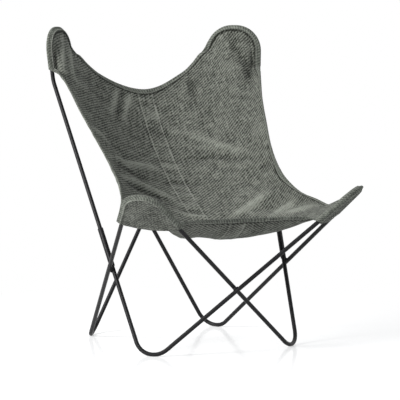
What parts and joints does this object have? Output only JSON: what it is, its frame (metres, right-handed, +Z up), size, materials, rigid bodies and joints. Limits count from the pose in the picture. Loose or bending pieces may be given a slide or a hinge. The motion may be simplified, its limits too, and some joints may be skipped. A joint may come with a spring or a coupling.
{
  "type": "butterfly sling chair",
  "caption": "Low lounge chair: a canvas sling with corner pockets hangs from a bent and welded rod frame whose legs cross in the shape of a butterfly.",
  "frame": {"origin": "on the floor, under the middle of the whole chair's box", "axes": "+Z up, the sitter faces -Y, +X is the viewer's right from the front"},
  "size_m": [0.74, 0.7972, 0.9188],
  "materials": {
    "painted_steel": "charcoal powder coat, satin",
    "weld_metal": "the same coat over rough weld metal",
    "canvas": "washed grey-green canvas of coarse basket weave",
    "binding": "the same canvas folded over the edges and stitched"
  },
  "bodies": {
    "root": {"back_socket_left": "painted_steel", "back_socket_right": "painted_steel", "back_weld": "weld_metal", "base_rod_left": "painted_steel", "base_rod_right": "painted_steel", "centre_seam_strip": "canvas", "ear_arch_left": "painted_steel", "ear_arch_right": "painted_steel", "edge_tape_front": "binding", "edge_tape_left": "binding", "edge_tape_right": "binding", "edge_tape_top": "binding", "front_weld": "weld_metal", "pocket_ear_left": "canvas", "pocket_ear_right": "canvas", "pocket_front_left": "canvas", "pocket_front_right": "canvas", "pocket_tape_ear_left": "binding", "pocket_tape_ear_right": "binding", "pocket_tape_front_left": "binding", "pocket_tape_front_right": "binding", "side_socket_left": "painted_steel", "side_socket_right": "painted_steel", "side_weld_left": "weld_metal", "side_weld_right": "weld_metal", "sling_panel_left": "canvas", "sling_panel_right": "canvas"}
  },
  "joints": []
}
